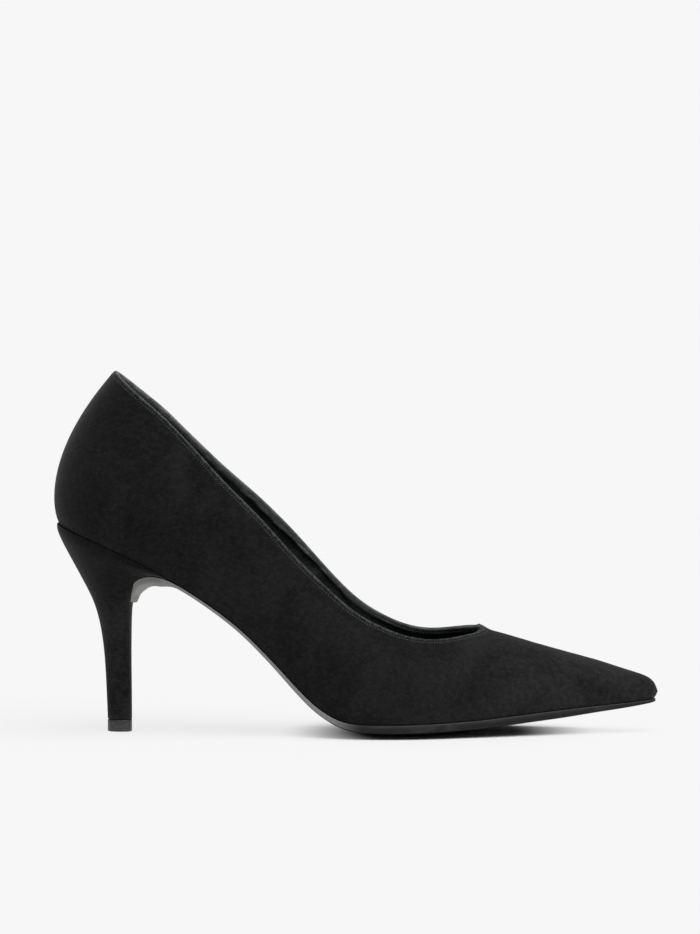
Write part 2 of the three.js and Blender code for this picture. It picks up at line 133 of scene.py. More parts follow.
@dataclass(frozen=True)
class SoleFinish:
    """Moulded sole with a satin edge, painted darker low on the edge as shade, and a matt, finely textured tread.
    """

    name: str
    tread: Triple = (0.02, 0.02, 0.0196)
    edge: Triple = (0.021, 0.0208, 0.02)
    # Colour of the lower part of the edge, darker as painted shade where it turns under.
    bevel: Triple = (0.0035, 0.0035, 0.0033)
    waist: Triple = (0.25, 0.248, 0.242)
    scuff: Triple = (0.1, 0.1, 0.098)
    roughness: float = 0.55


@dataclass(frozen=True)
class Plastic:
    """Hard wearing plastic of the top piece."""

    name: str
    colour: Triple = (0.034, 0.034, 0.0335)
    scuff: Triple = (0.09, 0.09, 0.088)
    roughness: float = 0.3


@dataclass(frozen=True)
class Thread:
    """Twisted sewing thread, a little paler than the suede."""

    name: str
    colour: Triple = (0.085, 0.086, 0.088)
    roughness: float = 0.6


class Nodes:
    """A small helper that adds and joins the nodes of one material."""

    def __init__(self, name: str) -> None:
        """Starts an empty material of that name with a Principled shader."""
        self.material = bpy.data.materials.new(name)
        self.material.use_nodes = True
        self.tree = self.material.node_tree
        self.tree.nodes.clear()
        self.output = self.tree.nodes.new("ShaderNodeOutputMaterial")
        self.shader = self.tree.nodes.new("ShaderNodeBsdfPrincipled")
        self.tree.links.new(self.shader.outputs["BSDF"], self.output.inputs["Surface"])
        self.coords = self.tree.nodes.new("ShaderNodeTexCoord").outputs["Object"]

    def set(self, **values: object) -> None:
        """Sets sockets of the shader, with underscores for the spaces in their names."""
        for name, value in values.items():
            self.shader.inputs[name.replace("_", " ")].default_value = value

    def link(self, source: bpy.types.NodeSocket, target: bpy.types.NodeSocket | str) -> None:
        """Joins a socket to another, or to the shader's socket of that name."""
        self.tree.links.new(source, self.shader.inputs[target] if isinstance(target, str) else target)

    def noise(self, scale: float, detail: float = 2.0, rough: float = 0.5, warp: float = 0.0,
              coords: bpy.types.NodeSocket | None = None) -> bpy.types.NodeSocket:
        """A noise pattern on the object's own coordinates.

        Args:
            scale: How many features fit in a metre.
            detail: How many finer octaves it has.
            rough: How strong the finer octaves are.
            warp: How far the pattern is bent by itself.
            coords: Other coordinates than the plain ones.

        Returns:
            The factor socket.
        """
        node = self.tree.nodes.new("ShaderNodeTexNoise")
        node.inputs["Scale"].default_value = scale
        node.inputs["Detail"].default_value = detail
        node.inputs["Roughness"].default_value = rough
        node.inputs["Distortion"].default_value = warp
        self.tree.links.new(coords or self.coords, node.inputs["Vector"])
        return node.outputs["Fac"]

    def stretched(self, scale: Triple, slope: float = 0.0) -> bpy.types.NodeSocket:
        """The object's coordinates, stretched along each axis after a turn seen from the side."""
        node = self.tree.nodes.new("ShaderNodeMapping")
        node.inputs["Rotation"].default_value = (0.0, slope, 0.0)
        node.inputs["Scale"].default_value = scale
        self.tree.links.new(self.coords, node.inputs["Vector"])
        return node.outputs["Vector"]

    def attribute(self, name: str) -> bpy.types.NodeSocket:
        """A number kept on the mesh's points."""
        node = self.tree.nodes.new("ShaderNodeAttribute")
        node.attribute_name = name
        return node.outputs["Fac"]

    def axis(self, name: str) -> bpy.types.NodeSocket:
        """One of the object's coordinates, by its letter."""
        node = self.tree.nodes.new("ShaderNodeSeparateXYZ")
        self.tree.links.new(self.coords, node.inputs["Vector"])
        return node.outputs[name]

    def ramp(self, value: bpy.types.NodeSocket, low: float, high: float,
             out_low: float = 0.0, out_high: float = 1.0) -> bpy.types.NodeSocket:
        """Maps a range of a value to another range, clamped."""
        node = self.tree.nodes.new("ShaderNodeMapRange")
        node.interpolation_type = "SMOOTHSTEP"
        node.clamp = True
        node.inputs["From Min"].default_value = low
        node.inputs["From Max"].default_value = high
        node.inputs["To Min"].default_value = out_low
        node.inputs["To Max"].default_value = out_high
        self.tree.links.new(value, node.inputs["Value"])
        return node.outputs["Result"]

    def maths(self, operation: str, one: bpy.types.NodeSocket | float,
              two: bpy.types.NodeSocket | float = 0.0) -> bpy.types.NodeSocket:
        """A sum, product or other operation on two values."""
        node = self.tree.nodes.new("ShaderNodeMath")
        node.operation = operation
        for socket, value in zip(node.inputs, (one, two)):
            if isinstance(value, (int, float)):
                socket.default_value = value
            else:
                self.tree.links.new(value, socket)
        return node.outputs["Value"]

    def mix(self, share: bpy.types.NodeSocket, one: object, two: object) -> bpy.types.NodeSocket:
        """A colour between two, each a tuple or a socket."""
        node = self.tree.nodes.new("ShaderNodeMix")
        node.data_type = "RGBA"
        self.tree.links.new(share, node.inputs[0])
        for socket, value in ((node.inputs[6], one), (node.inputs[7], two)):
            if isinstance(value, tuple):
                socket.default_value = (*value, 1.0)
            else:
                self.tree.links.new(value, socket)
        return node.outputs[2]

    def toned(self, shade: bpy.types.NodeSocket, finish: Suede, strength: float) -> bpy.types.NodeSocket:
        """The nap's colour from dark to pale, made lighter or darker as a whole."""
        return self.mix(shade, tuple(strength * c for c in finish.dark), tuple(strength * c for c in finish.pale))

    def bump(self, height: bpy.types.NodeSocket, depth: float,
             under: bpy.types.NodeSocket | None = None, strength: float = 1.0) -> bpy.types.NodeSocket:
        """A bump of a depth in metres, laid over another one where it is given."""
        node = self.tree.nodes.new("ShaderNodeBump")
        node.inputs["Strength"].default_value = strength
        node.inputs["Distance"].default_value = depth
        self.tree.links.new(height, node.inputs["Height"])
        if under is not None:
            self.tree.links.new(under, node.inputs["Normal"])
        return node.outputs["Normal"]


TOPLINE = "from_topline"
INNER = "from_inner_edge"
WAIST = "waist"
EDGE = "edge"
HEIGHT = "height_on_edge"


def suede_material(finish: Suede, seam_y: float = 0.0, seam_x: float = 0.0) -> bpy.types.Material:
    """Builds the suede: nap patches, fine nap, lint specks, a soft sheen, and painted light and shade where
    asked.

    Args:
        finish: The colours and strengths.
        seam_y: Where the back seam runs across the shoe, in metres.
        seam_x: The seam shows only behind this place, in metres.

    Returns:
        The material.
    """
    n = Nodes(finish.name)
    patches = n.noise(42.0, 2.0, 0.5, 0.8)
    strokes = n.noise(620.0, 4.0, 0.7, 0.3, n.stretched((0.7, 1.0, 1.0)))
    nap = n.noise(2400.0, 2.0, 0.7)
    shade = n.maths("ADD", n.maths("MULTIPLY", n.ramp(patches, 0.34, 0.68), 0.3),
                    n.maths("MULTIPLY", n.ramp(strokes, 0.34, 0.7), 0.42))
    shade = n.maths("ADD", shade, n.maths("MULTIPLY", n.ramp(nap, 0.3, 0.7), 0.25))
    colour = n.toned(shade, finish, 1.0)
    # Painted light on the vamp at the front, and painted shade low in the heel cup at the back.
    if finish.painted_light_and_shade:
        colour = n.mix(n.ramp(n.axis("X"), *finish.front), colour, n.toned(shade, finish, finish.front_light_tone))
        cup_shade = n.maths("MULTIPLY", n.ramp(n.axis("X"), *finish.cup_along), n.ramp(n.axis("Z"), *finish.cup_up))
        colour = n.mix(cup_shade, colour, n.toned(shade, finish, finish.cup_shade_tone))
    # Painted shade: the upper part of the heel is darkened.
    if finish.shaded:
        top = n.ramp(n.axis("Z"), *finish.heel_top)
        colour = n.mix(top, colour, n.toned(shade, finish, finish.heel_top_shade_tone))
    lint = n.ramp(n.noise(1500.0, 1.0, 0.5), 0.69, 0.79)
    lint = n.maths("MULTIPLY", lint, n.ramp(n.noise(90.0, 2.0), 0.4, 0.62))
    colour = n.mix(n.maths("MULTIPLY", lint, finish.specks), colour, finish.speck)
    height = n.maths("ADD", n.maths("MULTIPLY", nap, 0.6), n.maths("MULTIPLY", strokes, 0.9))
    normal = n.bump(height, 0.00022, strength=0.75)
    if finish.fold:
        far = n.attribute(TOPLINE)
        roll = n.ramp(far, 0.0, finish.roll, 1.0, 0.0)
        start, middle, end = finish.channel
        channel = n.maths("MULTIPLY", n.ramp(far, start, middle), n.ramp(far, middle, end, 1.0, 0.0))
        normal = n.bump(n.maths("SUBTRACT", roll, channel), 0.00013, normal)
        # The fold's very edge is paler: partly frayed fibres, partly a painted highlight along the roll.
        frayed = n.ramp(n.noise(750.0, 3.0, 0.6), 0.42, 0.62, 0.1, 1.0)
        worn_and_highlight = n.maths("MULTIPLY", n.ramp(far, *finish.worn_and_highlight_reach, 1.0, 0.0), frayed)
        colour = n.mix(worn_and_highlight, colour, finish.worn_and_highlight)
        # Painted highlight along the rim's inner edge, uneven, and brighter toward the back.
        highlight_strength = n.ramp(n.noise(260.0, 3.0), 0.35, 0.6, 0.45, 1.0)
        rim = n.maths("MULTIPLY", n.ramp(n.attribute(INNER), *finish.rim_highlight_reach, 1.0, 0.0), highlight_strength)
        back = tuple(finish.rim_highlight_back_tone * c for c in finish.rim)
        lit = n.mix(n.ramp(n.axis("X"), *finish.rim_highlight_back), finish.rim, back)
        colour = n.mix(rim, colour, lit)
    if finish.seam:
        across = n.maths("ABSOLUTE", n.maths("SUBTRACT", n.axis("Y"), seam_y))
        behind = n.ramp(n.axis("X"), seam_x, seam_x - 0.002)
        groove = n.maths("MULTIPLY", n.ramp(across, 0.0001, 0.0005, 1.0, 0.0), behind)
        normal = n.bump(groove, -0.0004, normal)
        colour = n.mix(n.maths("MULTIPLY", groove, 0.7), colour, finish.groove)
    n.link(colour, "Base Color")
    n.link(normal, "Normal")
    n.set(Roughness=0.96, Sheen_Weight=finish.sheen, Sheen_Roughness=0.42,
          Sheen_Tint=(0.8, 0.8, 0.83, 1.0), Specular_IOR_Level=0.12)
    return n.material


def leather_material(finish: Leather) -> bpy.types.Material:
    """Builds a lining leather with pores, faint clouding and, if banded, a smoother facing at the top and painted
    highlights and shade on its folds.

    Args:
        finish: The colours, roughness and grain.

    Returns:
        The material.
    """
    n = Nodes(finish.name)
    clouds = n.noise(70.0, 3.0, 0.5, 0.4)
    grain = n.noise(finish.grain, 3.0, 0.6)
    colour = n.mix(n.ramp(clouds, 0.3, 0.7), finish.dark, finish.pale)
    pores = n.ramp(grain, 0.3, 0.5, 1.0, 0.0)
    colour = n.mix(n.maths("MULTIPLY", pores, 0.4), colour, finish.pore)
    if finish.banded:
        facing = n.ramp(n.attribute(TOPLINE), *finish.facing_end, 1.0, 0.0)
        colour = n.mix(facing, colour, finish.facing)
        folds = n.noise(260.0, 4.0, 0.65, 0.6, n.stretched((0.3, 1.0, 1.0), finish.slope))
        # Painted highlight on the fold ridges and painted shade in their hollows.
        colour = n.mix(n.ramp(folds, 0.52, 0.66, 0.0, 0.6), colour, finish.fold_highlight)
        colour = n.mix(n.ramp(folds, 0.34, 0.46, 0.75, 0.0), colour, finish.fold_shade)
    normal = n.bump(grain, finish.depth, strength=0.7)
    n.link(colour, "Base Color")
    n.link(normal, "Normal")
    n.link(n.ramp(clouds, 0.2, 0.8, finish.roughness - 0.06, finish.roughness + 0.1), "Roughness")
    n.set(Specular_IOR_Level=0.2)
    return n.material


def sole_material(finish: SoleFinish) -> bpy.types.Material:
    """Builds the outsole: matt tread, satin edge with painted shade low on it, and a paler edge along the waist
    and the flap.
    """
    n = Nodes(finish.name)
    grain = n.noise(1300.0, 3.0, 0.6)
    scuff = n.noise(160.0, 4.0, 0.6, 0.5, n.stretched((0.3, 1.0, 1.0)))
    edge = n.ramp(n.attribute(EDGE), 0.35, 0.65)
    # Painted shade: the lower part of the sole's edge is darkened where it turns under toward the floor.
    low_shade = n.ramp(n.attribute(HEIGHT), 0.3, 0.95, 1.0, 0.0)
    edged = n.mix(low_shade, finish.edge, finish.bevel)
    edged = n.mix(n.attribute(WAIST), edged, finish.waist)
    colour = n.mix(edge, finish.tread, edged)
    colour = n.mix(n.maths("MULTIPLY", n.ramp(scuff, 0.45, 0.75), 0.22), colour, finish.scuff)
    rough = n.maths("ADD", n.ramp(scuff, 0.3, 0.8, 0.0, 0.16),
                    n.ramp(edge, 0.0, 1.0, finish.roughness + 0.2, finish.roughness))
    n.link(colour, "Base Color")
    n.link(rough, "Roughness")
    n.link(n.bump(grain, 0.0001, strength=0.5), "Normal")
    n.set(Specular_IOR_Level=0.3)
    return n.material


def plastic_material(finish: Plastic) -> bpy.types.Material:
    """Builds the hard satin plastic of the top piece, with faint scuffs."""
    n = Nodes(finish.name)
    scuff = n.noise(700.0, 4.0, 0.6)
    colour = n.mix(n.ramp(scuff, 0.5, 0.8), finish.colour, finish.scuff)
    n.link(colour, "Base Color")
    n.link(n.ramp(scuff, 0.2, 0.8, finish.roughness, finish.roughness + 0.15), "Roughness")
    n.link(n.bump(n.noise(2200.0, 2.0), 0.00005), "Normal")
    n.set(Specular_IOR_Level=0.5)
    return n.material


def thread_material(finish: Thread) -> bpy.types.Material:
    """Builds the thread, with its twist as fine noise and painted shade in the twist's hollows."""
    n = Nodes(finish.name)
    twist = n.noise(4200.0, 1.0, 0.5, 0.0, n.stretched((1.0, 0.4, 1.0)))
    # Painted shade in the hollows of the twist.
    twist_shade = tuple(0.55 * c for c in finish.colour)
    n.link(n.mix(n.ramp(twist, 0.35, 0.65), twist_shade, finish.colour), "Base Color")
    n.link(n.bump(twist, 0.00006), "Normal")
    n.set(Roughness=finish.roughness, Sheen_Weight=0.2, Specular_IOR_Level=0.3)
    return n.material


def new_object(name: str, mesh: bpy.types.Mesh, material: bpy.types.Material | None = None) -> bpy.types.Object:
    """Puts a mesh into the scene as an object at the origin, smooth shaded."""
    obj = bpy.data.objects.new(name, mesh)
    bpy.context.scene.collection.objects.link(obj)
    if material is not None:
        mesh.materials.clear()
        mesh.materials.append(material)
    mesh.polygons.foreach_set("use_smooth", [True] * len(mesh.polygons))
    mesh.update()
    return obj


def coat(obj: bpy.types.Object, material: bpy.types.Material) -> None:
    """Gives an object one material, in place of any that it had."""
    obj.data.materials.clear()
    obj.data.materials.append(material)


def baked(obj: bpy.types.Object) -> bpy.types.Mesh:
    """The plain mesh that an object's modifiers make."""
    graph = bpy.context.evaluated_depsgraph_get()
    return bpy.data.meshes.new_from_object(obj.evaluated_get(graph))


def finish_modifiers(obj: bpy.types.Object) -> None:
    """Replaces an object's mesh by what its modifiers make of it, and takes them off."""
    mesh = baked(obj)
    obj.modifiers.clear()
    old = obj.data
    obj.data = mesh
    bpy.data.meshes.remove(old)


def quads_of(node: bpy.types.Object, sharp: float) -> bmesh.types.BMesh:
    """A welded copy of a solid with its triangles joined to quads and its sharp edges held.

    Args:
        node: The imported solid, which is left alone.
        sharp: Crease of its sharp edges, from 0 for round to 1 for hard.

    Returns:
        The copy.
    """
    bm = bmesh.new()
    bm.from_mesh(node.data)
    bmesh.ops.remove_doubles(bm, verts=bm.verts, dist=WELD)
    bmesh.ops.join_triangles(bm, faces=bm.faces, angle_face_threshold=math.radians(40),
                             angle_shape_threshold=math.radians(50))
    crease = bm.edges.layers.float.get("crease_edge") or bm.edges.layers.float.new("crease_edge")
    for edge in bm.edges:
        if len(edge.link_faces) == 2 and edge.calc_face_angle() > SHARP:
            edge[crease] = sharp
    return bm


def subdivided(name: str, bm: bmesh.types.BMesh, levels: int) -> bpy.types.Object:
    """An object with a smooth surface through a coarse mesh, which is freed.

    Args:
        name: The object's name.
        bm: The coarse mesh.
        levels: How many times each face is divided.

    Returns:
        The object, without modifiers.
    """
    mesh = bpy.data.meshes.new(name)
    bm.to_mesh(mesh)
    bm.free()
    obj = new_object(name, mesh)
    modifier = obj.modifiers.new("Smooth surface", "SUBSURF")
    modifier.levels = levels
    modifier.render_levels = levels
    modifier.use_limit_surface = False
    finish_modifiers(obj)
    return obj


def rows_of(mesh: bpy.types.Mesh, name: str) -> np.ndarray:
    """The places ("co") or normals ("normal") of the mesh's points, as an array of rows."""
    flat = np.empty(len(mesh.vertices) * 3, dtype=np.float64)
    mesh.vertices.foreach_get(name, flat)
    return flat.reshape(-1, 3)


def set_points(mesh: bpy.types.Mesh, points: np.ndarray) -> None:
    """Moves the mesh's points."""
    mesh.vertices.foreach_set("co", points.ravel())
    mesh.update()


def keep_number(mesh: bpy.types.Mesh, name: str, values: np.ndarray) -> None:
    """Keeps a number on each of the mesh's points."""
    layer = mesh.attributes.new(name, "FLOAT", "POINT")
    layer.data.foreach_set("value", values.astype(np.float32))


def smoothstep(values: np.ndarray, low: float, high: float) -> np.ndarray:
    """0 below low, 1 above high, and smooth between."""
    t = np.clip((values - low) / (high - low), 0.0, 1.0)
    return t * t * (3.0 - 2.0 * t)


def tree_of(points: np.ndarray) -> KDTree:
    """The points, ready for the nearest of them to be found."""
    tree = KDTree(len(points))
    for i, point in enumerate(points):
        tree.insert(point, i)
    tree.balance()
    return tree


def surface_of(mesh: bpy.types.Mesh) -> BVHTree:
    """The mesh's faces, ready for the nearest or the one along a ray to be found."""
    return BVHTree.FromPolygons([v.co for v in mesh.vertices], [p.vertices[:] for p in mesh.polygons])


def nearest_distances(points: np.ndarray, loop: np.ndarray) -> np.ndarray:
    """How far each point is from the nearest point of a loop."""
    tree = tree_of(loop)
    return np.array([tree.find(point)[2] for point in points])


@dataclass
class Topline:
    """The rim of the opening, found on the upper's solid, as two loops of points.

    up and up_inner point out of the rim at each point, square to the loop and along the wall.
    """

    outer: np.ndarray
    inner: np.ndarray
    up: np.ndarray
    up_inner: np.ndarray

    @classmethod
    def found_on(cls, bm: bmesh.types.BMesh, count: int = 1400) -> Topline:
        """Finds the rim as the highest loop of sharp edges.

        Args:
            bm: The upper as a welded mesh.
            count: How many points each loop gets.

        Returns:
            The topline.
        """
        bm.normal_update()
        groups: list[set[bmesh.types.BMVert]] = []
        sharp = [e for e in bm.edges if len(e.link_faces) == 2 and e.calc_face_angle() > SHARP]
        near: dict[bmesh.types.BMVert, list[bmesh.types.BMVert]] = {}
        for edge in sharp:
            a, b = edge.verts
            near.setdefault(a, []).append(b)
            near.setdefault(b, []).append(a)
        left = set(near)
        while left:
            stack = [left.pop()]
            group = set(stack)
            while stack:
                for other in near[stack.pop()]:
                    if other in left:
                        left.discard(other)
                        group.add(other)
                        stack.append(other)
            groups.append(group)
        rim = max((g for g in groups if len(g) > LEAST_RIM_POINTS), key=lambda g: sum(v.co.z for v in g) / len(g))
        points = np.array([v.co[:] for v in rim])
        facing = np.array([cls._skin_normal(v, rim)[:] for v in rim])
        centre = np.array([0.5 * (points[:, 0].min() + points[:, 0].max()), points[:, 1].mean()])
        body = np.array([v.co[:] for v in bm.verts])
        outside = (across_axis(points, body) * facing).sum(axis=1) > 0
        LOG.info("topline: %d outer and %d inner points", outside.sum(), (~outside).sum())
        outer, out = cls._loop(points[outside], facing[outside], centre, count)
        across = nearest_distances(points, outer)
        edge = ~outside & (across < 1.45 * np.median(across[~outside]))
        inner, into = cls._loop(points[edge], facing[edge], centre, count)
        return cls(outer=outer, inner=inner, up=cls._up(outer, out), up_inner=cls._up(inner, into))

    @staticmethod
    def _skin_normal(vert: bmesh.types.BMVert, rim: set[bmesh.types.BMVert]) -> Vector:
        """The normal of the wall's face beside a point of the rim.

        Args:
            vert: The point.
            rim: All points of the rim, whose own faces are left out.

        Returns:
            The normal, weighted by area.
        """
        total = Vector((0.0, 0.0, 0.0))
        for face in vert.link_faces:
            if any(corner not in rim for corner in face.verts):
                total += face.normal * face.calc_area()
        return total.normalized()

    @staticmethod
    def _up(loop: np.ndarray, out: np.ndarray) -> np.ndarray:
        """The direction out of the rim at each point of a loop.

        Args:
            loop: The loop's points.
            out: The wall's normal at each of them.

        Returns:
            The directions, of unit length.
        """
        along = np.roll(loop, -3, axis=0) - np.roll(loop, 3, axis=0)
        up = np.cross(along, out)
        up /= np.linalg.norm(up, axis=1)[:, None]
        return up if up[:, 2].sum() > 0 else -up

    @staticmethod
    def _loop(points: np.ndarray, facing: np.ndarray, centre: np.ndarray,
              count: int) -> tuple[np.ndarray, np.ndarray]:
        """A smooth closed loop through points, in order of their turn round the opening.

        Args:
            points: Points in no order.
            facing: A direction at each of them.
            centre: The middle of the opening seen from above.
            count: How many points the loop gets.

        Returns:
            The loop's points, and the direction at each.
        """
        stretch = np.ptp(points[:, 0]) / np.ptp(points[:, 1])
        turn = np.arctan2(points[:, 1] - centre[1], (points[:, 0] - centre[0]) / stretch)
        order = np.argsort(turn)
        both = np.concatenate([points, facing * 0.01], axis=1)[order]
        turn = turn[order]
        keep = np.concatenate([[True], np.diff(turn) > 1e-4])
        turn, both = turn[keep], both[keep]
        wrapped = np.concatenate([turn[-3:] - 2 * math.pi, turn, turn[:3] + 2 * math.pi])
        full = np.concatenate([both[-3:], both, both[:3]])
        fine = np.linspace(-math.pi, math.pi, 6000, endpoint=False)
        dense = np.stack([np.interp(fine, wrapped, full[:, k]) for k in range(6)], axis=1)
        steps = np.linalg.norm(np.diff(dense[:, :3], axis=0, append=dense[:1, :3]), axis=1)
        length = np.concatenate([[0.0], np.cumsum(steps)])
        even = np.linspace(0.0, length[-1], count, endpoint=False)
        closed = np.concatenate([dense, dense[:1]])
        loop = np.stack([np.interp(even, length, closed[:, k]) for k in range(6)], axis=1)
        for _ in range(60):
            loop = 0.5 * loop + 0.25 * (np.roll(loop, 1, axis=0) + np.roll(loop, -1, axis=0))
        out = loop[:, 3:] / np.linalg.norm(loop[:, 3:], axis=1)[:, None]
        return loop[:, :3], out

    def round_throat(self, obj: bpy.types.Object, reach: float, rounds: int = 250) -> None:
        """Rounds the outer edge at the throat, and carries the skin near it along.

        Args:
            obj: The shell, whose points are moved.
            reach: How far from the edge the skin follows.
            rounds: How many times the edge is evened.
        """
        before = self.outer.copy()
        near = smoothstep(before[:, 0] - before[:, 0].max(), -16 * MM, -9 * MM)[:, None]
        for _ in range(rounds):
            beside = np.roll(self.outer, 1, axis=0) + np.roll(self.outer, -1, axis=0)
            evened = 0.5 * self.outer + 0.25 * beside
            self.outer = self.outer + near * (evened - self.outer)
        moves = self.outer - before
        tree = tree_of(before)
        points = rows_of(obj.data, "co")
        for i in np.flatnonzero(points[:, 0] > before[:, 0].max() - 20 * MM):
            _, index, far = tree.find(points[i])
            points[i] += moves[index] * (1.0 - float(smoothstep(np.float64(far), 0.0, reach)))
        set_points(obj.data, points)

    def distances(self, points: np.ndarray, side: Side) -> np.ndarray:
        """Distance of each point from the loop on that side.

        Args:
            points: The points, as rows.
            side: Which loop.

        Returns:
            One distance for each point.
        """
        return nearest_distances(points, self.outer if side is Side.OUTER else self.inner)


@dataclass
class StitchRow:
    """A row of stitches along a path, made by Geometry Nodes."""

    pitch: float = 1.15 * MM
    length: float = 0.82 * MM
    width: float = 0.3 * MM
    height: float = 0.2 * MM
    seed: int = 7

    def tree(self) -> bpy.types.GeometryNodeTree:
        """Builds the node tree: a path, resampled by the pitch, with one thread at each point."""
        tree = bpy.data.node_groups.new("Stitch row", "GeometryNodeTree")
        face = tree.interface
        face.new_socket("Path", in_out="INPUT", socket_type="NodeSocketGeometry")
        for name in ("Pitch", "Length", "Width", "Height"):
            face.new_socket(name, in_out="INPUT", socket_type="NodeSocketFloat")
        face.new_socket("Seed", in_out="INPUT", socket_type="NodeSocketInt")
        face.new_socket("Thread", in_out="INPUT", socket_type="NodeSocketMaterial")
        face.new_socket("Stitches", in_out="OUTPUT", socket_type="NodeSocketGeometry")
        new, link = tree.nodes.new, tree.links.new
        given, result = new("NodeGroupInput"), new("NodeGroupOutput")
        curve = new("GeometryNodeMeshToCurve")
        link(given.outputs["Path"], curve.inputs["Mesh"])
        evened = new("GeometryNodeResampleCurve")
        evened.mode = "LENGTH"
        link(curve.outputs["Curve"], evened.inputs["Curve"])
        link(given.outputs["Pitch"], evened.inputs["Length"])
        outward = new("GeometryNodeInputNamedAttribute")
        outward.data_type = "FLOAT_VECTOR"
        outward.inputs["Name"].default_value = "outward"
        turn = new("FunctionNodeAxesToRotation")
        turn.primary_axis = "Z"
        turn.secondary_axis = "X"
        link(outward.outputs["Attribute"], turn.inputs["Primary Axis"])
        link(new("GeometryNodeInputTangent").outputs["Tangent"], turn.inputs["Secondary Axis"])
        ball = new("GeometryNodeMeshUVSphere")
        ball.inputs["Segments"].default_value = 8
        ball.inputs["Rings"].default_value = 5
        ball.inputs["Radius"].default_value = 0.5
        size = new("ShaderNodeCombineXYZ")
        for axis, name in zip("XYZ", ("Length", "Width", "Height")):
            link(given.outputs[name], size.inputs[axis])
        shaped = new("GeometryNodeTransform")
        link(ball.outputs["Mesh"], shaped.inputs["Geometry"])
        link(size.outputs["Vector"], shaped.inputs["Scale"])
        wobble = new("FunctionNodeRandomValue")
        wobble.data_type = "FLOAT"
        wobble.inputs[2].default_value = 0.88
        wobble.inputs[3].default_value = 1.1
        link(given.outputs["Seed"], wobble.inputs["Seed"])
        placed = new("GeometryNodeInstanceOnPoints")
        link(evened.outputs["Curve"], placed.inputs["Points"])
        link(shaped.outputs["Geometry"], placed.inputs["Instance"])
        link(turn.outputs["Rotation"], placed.inputs["Rotation"])
        link(wobble.outputs[1], placed.inputs["Scale"])
        real = new("GeometryNodeRealizeInstances")
        link(placed.outputs["Instances"], real.inputs["Geometry"])
        coloured = new("GeometryNodeSetMaterial")
        link(real.outputs["Geometry"], coloured.inputs["Geometry"])
        link(given.outputs["Thread"], coloured.inputs["Material"])
        link(coloured.outputs["Geometry"], result.inputs["Stitches"])
        return tree

    def along(self, name: str, points: np.ndarray, outward: np.ndarray,
              thread: bpy.types.Material) -> bpy.types.Object:
        """Sews a row along a path that comes back to its start.

        Args:
            name: The piece's name.
            points: The path's points, as rows.
            outward: The direction away from the surface at each point.
            thread: The material.

        Returns:
            The stitches as one plain mesh.
        """
        count = len(points)
        edges = [(i, (i + 1) % count) for i in range(count)]
        mesh = bpy.data.meshes.new(name)
        mesh.from_pydata([tuple(p) for p in points], edges, [])
        layer = mesh.attributes.new("outward", "FLOAT_VECTOR", "POINT")
        layer.data.foreach_set("vector", outward.astype(np.float32).ravel())
        obj = bpy.data.objects.new(name, mesh)
        bpy.context.scene.collection.objects.link(obj)
        modifier = obj.modifiers.new("Stitch row", "NODES")
        modifier.node_group = self.tree()
        values = {"Pitch": self.pitch, "Length": self.length, "Width": self.width,
                  "Height": self.height, "Seed": self.seed, "Thread": thread}
        for item in modifier.node_group.interface.items_tree:
            if item.in_out == "INPUT" and item.name in values:
                modifier[item.identifier] = values[item.name]
        finish_modifiers(obj)
        obj.data.polygons.foreach_set("use_smooth", [True] * len(obj.data.polygons))
        return obj


@dataclass
class Piece:
    """One finished piece of the shoe and the solid it stands for."""

    obj: bpy.types.Object
    slot: str
    nodes: tuple[str, ...] = ()

    def settle(self) -> None:
        """Ties the piece to the shoe's body, hides the solids it stands for, and reports it with its slot."""
        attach(self.obj, ROOT)
        if self.nodes:
            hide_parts(*self.nodes)
        LOG.info("%s: %d faces, slot %s", self.obj.name, len(self.obj.data.polygons), self.slot)


@dataclass(frozen=True)
class Crease:
    """A soft ridge in the lining between two places, given along and up the shoe in metres."""

    start: Pair
    end: Pair
    height: float
    width: float


def across_axis(points: np.ndarray, body: np.ndarray) -> np.ndarray:
    """From the shoe's long axis out to each point.

    Args:
        points: The points, as rows.
        body: All points of the upper, whose middle the axis follows.

    Returns:
        The directions, not of unit length.
    """
    places = np.linspace(body[:, 0].min(), body[:, 0].max(), 49)
    mids = []
    for place in places:
        near = body[np.abs(body[:, 0] - place) < 6 * MM]
        mids.append([0.5 * (near[:, k].min() + near[:, k].max()) for k in (1, 2)])
    middle = np.array(mids)
    x = np.clip(points[:, 0], body[:, 0].min() + 26 * MM, body[:, 0].max() - 10 * MM)
    y = np.interp(x, places, middle[:, 0])
    z = np.interp(x, places, middle[:, 1])
    return points - np.stack([x, y, z], axis=1)


